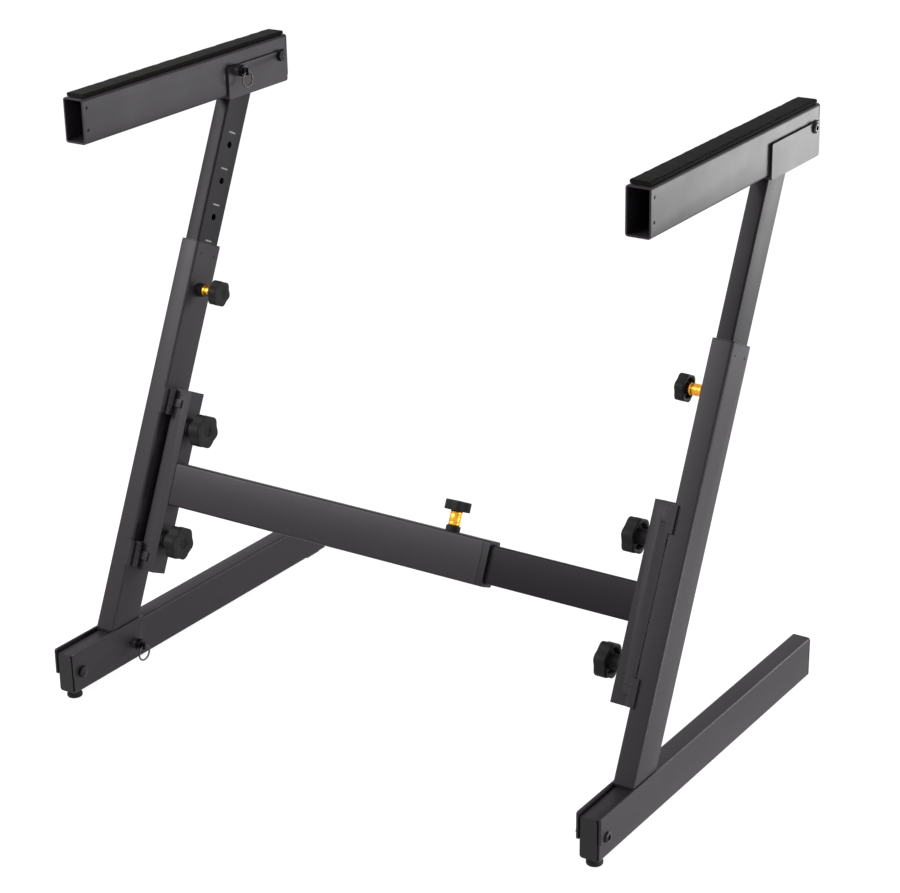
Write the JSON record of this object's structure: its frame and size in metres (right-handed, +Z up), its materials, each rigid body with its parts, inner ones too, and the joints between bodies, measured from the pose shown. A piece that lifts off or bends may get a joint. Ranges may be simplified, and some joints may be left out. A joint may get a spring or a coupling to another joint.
{
  "type": "keyboard stand",
  "caption": "Z-shaped keyboard stand with leaning posts, folding arms and feet, height tubes and a telescopic crossbar.",
  "frame": {"origin": "on the floor, under the middle of the stand's bounding box", "axes": "+Z up, +X along the crossbar to the right seen from the front, +Y to the rear, away from the player"},
  "size_m": [0.7282, 0.4885, 0.6895],
  "materials": {
    "powder_coat": "satin black powder coat",
    "black_plastic": "moulded, matte",
    "gold_anodised": "gold anodised",
    "black_steel": "black oxide",
    "bright_steel": "bright wire",
    "foam_rubber": "closed-cell foam",
    "black_rubber": "moulded rubber"
  },
  "bodies": {
    "crossbar_outer": {"crossbar_outer_tube": "powder_coat", "crossbar_bushing": "black_plastic", "width_boss": "black_plastic", "width_collar": "gold_anodised", "left_bracket": "powder_coat"},
    "crossbar_inner": {"crossbar_inner_tube": "powder_coat", "right_bracket": "powder_coat"},
    "width_plunger": {"width_knob": "black_plastic"},
    "left_clamp_upper": {"left_bracket_knob_upper": "black_plastic"},
    "left_clamp_lower": {"left_bracket_knob_lower": "black_plastic"},
    "right_clamp_upper": {"right_bracket_knob_upper": "black_plastic"},
    "right_clamp_lower": {"right_bracket_knob_lower": "black_plastic"},
    "right_post": {"right_outer_post": "powder_coat", "right_post_bushing": "black_plastic", "right_height_boss": "black_plastic", "right_height_collar": "gold_anodised", "right_bracket_hinge_upper": "powder_coat", "right_bracket_hinge_lower": "powder_coat", "right_lower_saddle": "powder_coat", "right_foot_pivot_bolt": "black_steel"},
    "right_mast": {"right_inner_post": "powder_coat", "right_upper_saddle": "powder_coat", "right_arm_pivot_bolt": "black_steel"},
    "right_height_plunger": {"right_height_knob": "black_plastic"},
    "right_arm": {"right_arm_tube": "powder_coat", "right_arm_end_cap": "black_plastic", "right_arm_foam": "foam_rubber"},
    "right_arm_pin": {"right_arm_lock_pin": "black_steel"},
    "right_arm_ring": {"right_arm_pin_ring": "bright_steel"},
    "right_foot": {"right_foot_tube": "powder_coat", "right_foot_front_cap": "black_plastic", "right_foot_rear_cap": "black_plastic", "right_foot_rear_pad": "black_rubber"},
    "right_leveler": {"right_leveling_foot": "black_rubber"},
    "right_foot_pin": {"right_foot_lock_pin": "black_steel"},
    "right_foot_ring": {"right_foot_pin_ring": "bright_steel"},
    "left_post": {"left_outer_post": "powder_coat", "left_post_bushing": "black_plastic", "left_height_boss": "black_plastic", "left_height_collar": "gold_anodised", "left_bracket_hinge_upper": "powder_coat", "left_bracket_hinge_lower": "powder_coat", "left_lower_saddle": "powder_coat", "left_foot_pivot_bolt": "black_steel"},
    "left_mast": {"left_inner_post": "powder_coat", "left_upper_saddle": "powder_coat", "left_arm_pivot_bolt": "black_steel"},
    "left_height_plunger": {"left_height_knob": "black_plastic"},
    "left_arm": {"left_arm_tube": "powder_coat", "left_arm_end_cap": "black_plastic", "left_arm_foam": "foam_rubber"},
    "left_arm_pin": {"left_arm_lock_pin": "black_steel"},
    "left_arm_ring": {"left_arm_pin_ring": "bright_steel"},
    "left_foot": {"left_foot_tube": "powder_coat", "left_foot_front_cap": "black_plastic", "left_foot_rear_cap": "black_plastic", "left_foot_rear_pad": "black_rubber"},
    "left_leveler": {"left_leveling_foot": "black_rubber"},
    "left_foot_pin": {"left_foot_lock_pin": "black_steel"},
    "left_foot_ring": {"left_foot_pin_ring": "bright_steel"}
  },
  "joints": [
    {"name": "width_slide", "type": "slide", "parent": "crossbar_outer", "child": "crossbar_inner", "axis": [1, 0, 0], "range_m": [-0.144, 0.144]},
    {"name": "width_plunger_pull", "type": "slide", "parent": "crossbar_outer", "child": "width_plunger", "axis": [0, 0.4274, 0.9041], "range_m": [0, 0.008], "stiffness_N_per_m": 1500, "springref_m": -0.006},
    {"name": "left_clamp_upper_turn", "type": "hinge", "parent": "crossbar_outer", "child": "left_clamp_upper", "pos_m": [-0.3035, -0.04535, 0.2753], "axis": [1, 0, 0], "continuous": true},
    {"name": "left_clamp_lower_turn", "type": "hinge", "parent": "crossbar_outer", "child": "left_clamp_lower", "pos_m": [-0.3035, -0.10181, 0.15587], "axis": [1, 0, 0], "continuous": true},
    {"name": "right_clamp_upper_turn", "type": "hinge", "parent": "crossbar_inner", "child": "right_clamp_upper", "pos_m": [0.3035, -0.04535, 0.2753], "axis": [1, 0, 0], "continuous": true},
    {"name": "right_clamp_lower_turn", "type": "hinge", "parent": "crossbar_inner", "child": "right_clamp_lower", "pos_m": [0.3035, -0.10181, 0.15587], "axis": [1, 0, 0], "continuous": true},
    {"name": "right_frame_swing", "type": "hinge", "parent": "crossbar_inner", "child": "right_post", "pos_m": [0.3275, -0.12666, 0.1419], "axis": [0, -0.4274, -0.9041], "range_deg": [0, 90]},
    {"name": "left_frame_swing", "type": "hinge", "parent": "crossbar_outer", "child": "left_post", "pos_m": [-0.3275, -0.12666, 0.1419], "axis": [0, 0.4274, 0.9041], "range_deg": [0, 90]},
    {"name": "right_height_slide", "type": "slide", "parent": "right_post", "child": "right_mast", "axis": [0, 0.4274, 0.9041], "range_m": [-0.165, 0.172]},
    {"name": "left_height_slide", "type": "slide", "parent": "left_post", "child": "left_mast", "axis": [0, 0.4274, 0.9041], "range_m": [-0.165, 0.172]},
    {"name": "right_height_plunger_pull", "type": "slide", "parent": "right_post", "child": "right_height_plunger", "axis": [-1, 0, 0], "range_m": [0, 0.008], "stiffness_N_per_m": 1500, "springref_m": -0.006},
    {"name": "left_height_plunger_pull", "type": "slide", "parent": "left_post", "child": "left_height_plunger", "axis": [1, 0, 0], "range_m": [0, 0.008], "stiffness_N_per_m": 1500, "springref_m": -0.006},
    {"name": "right_arm_fold", "type": "hinge", "parent": "right_mast", "child": "right_arm", "pos_m": [0.3445, 0.1903, 0.6628], "axis": [-1, 0, 0], "range_deg": [0, 292]},
    {"name": "left_arm_fold", "type": "hinge", "parent": "left_mast", "child": "left_arm", "pos_m": [-0.3445, 0.1903, 0.6628], "axis": [-1, 0, 0], "range_deg": [0, 292]},
    {"name": "right_arm_pin_pull", "type": "slide", "parent": "right_mast", "child": "right_arm_pin", "axis": [-1, 0, 0], "range_m": [0, 0.006], "stiffness_N_per_m": 1000, "springref_m": -0.004},
    {"name": "left_arm_pin_pull", "type": "slide", "parent": "left_mast", "child": "left_arm_pin", "axis": [1, 0, 0], "range_m": [0, 0.006], "stiffness_N_per_m": 1000, "springref_m": -0.004},
    {"name": "right_arm_ring_swing", "type": "hinge", "parent": "right_arm_pin", "child": "right_arm_ring", "pos_m": [0.31355, 0.1077, 0.6626], "axis": [0, 1, 0], "range_deg": [-15, 100]},
    {"name": "left_arm_ring_swing", "type": "hinge", "parent": "left_arm_pin", "child": "left_arm_ring", "pos_m": [-0.31355, 0.1077, 0.6626], "axis": [0, -1, 0], "range_deg": [-15, 100]},
    {"name": "right_foot_fold", "type": "hinge", "parent": "right_post", "child": "right_foot", "pos_m": [0.3445, -0.232, 0.03511], "axis": [-1, 0, 0], "range_deg": [0, 292]},
    {"name": "left_foot_fold", "type": "hinge", "parent": "left_post", "child": "left_foot", "pos_m": [-0.3445, -0.232, 0.03511], "axis": [-1, 0, 0], "range_deg": [0, 292]},
    {"name": "right_leveler_turn", "type": "hinge", "parent": "right_foot", "child": "right_leveler", "pos_m": [0.3445, -0.2315, 0], "axis": [0, 0, 1], "continuous": true},
    {"name": "left_leveler_turn", "type": "hinge", "parent": "left_foot", "child": "left_leveler", "pos_m": [-0.3445, -0.2315, 0], "axis": [0, 0, 1], "continuous": true},
    {"name": "right_foot_pin_pull", "type": "slide", "parent": "right_post", "child": "right_foot_pin", "axis": [-1, 0, 0], "range_m": [0, 0.006], "stiffness_N_per_m": 1000, "springref_m": -0.004},
    {"name": "left_foot_pin_pull", "type": "slide", "parent": "left_post", "child": "left_foot_pin", "axis": [1, 0, 0], "range_m": [0, 0.006], "stiffness_N_per_m": 1000, "springref_m": -0.004},
    {"name": "right_foot_ring_swing", "type": "hinge", "parent": "right_foot_pin", "child": "right_foot_ring", "pos_m": [0.3158, -0.13965, 0.03131], "axis": [0, 0.9999, -0.0152], "range_deg": [-15, 100]},
    {"name": "left_foot_ring_swing", "type": "hinge", "parent": "left_foot_pin", "child": "left_foot_ring", "pos_m": [-0.3158, -0.13965, 0.03131], "axis": [0, -0.9999, 0.0152], "range_deg": [-15, 100]}
  ]
}
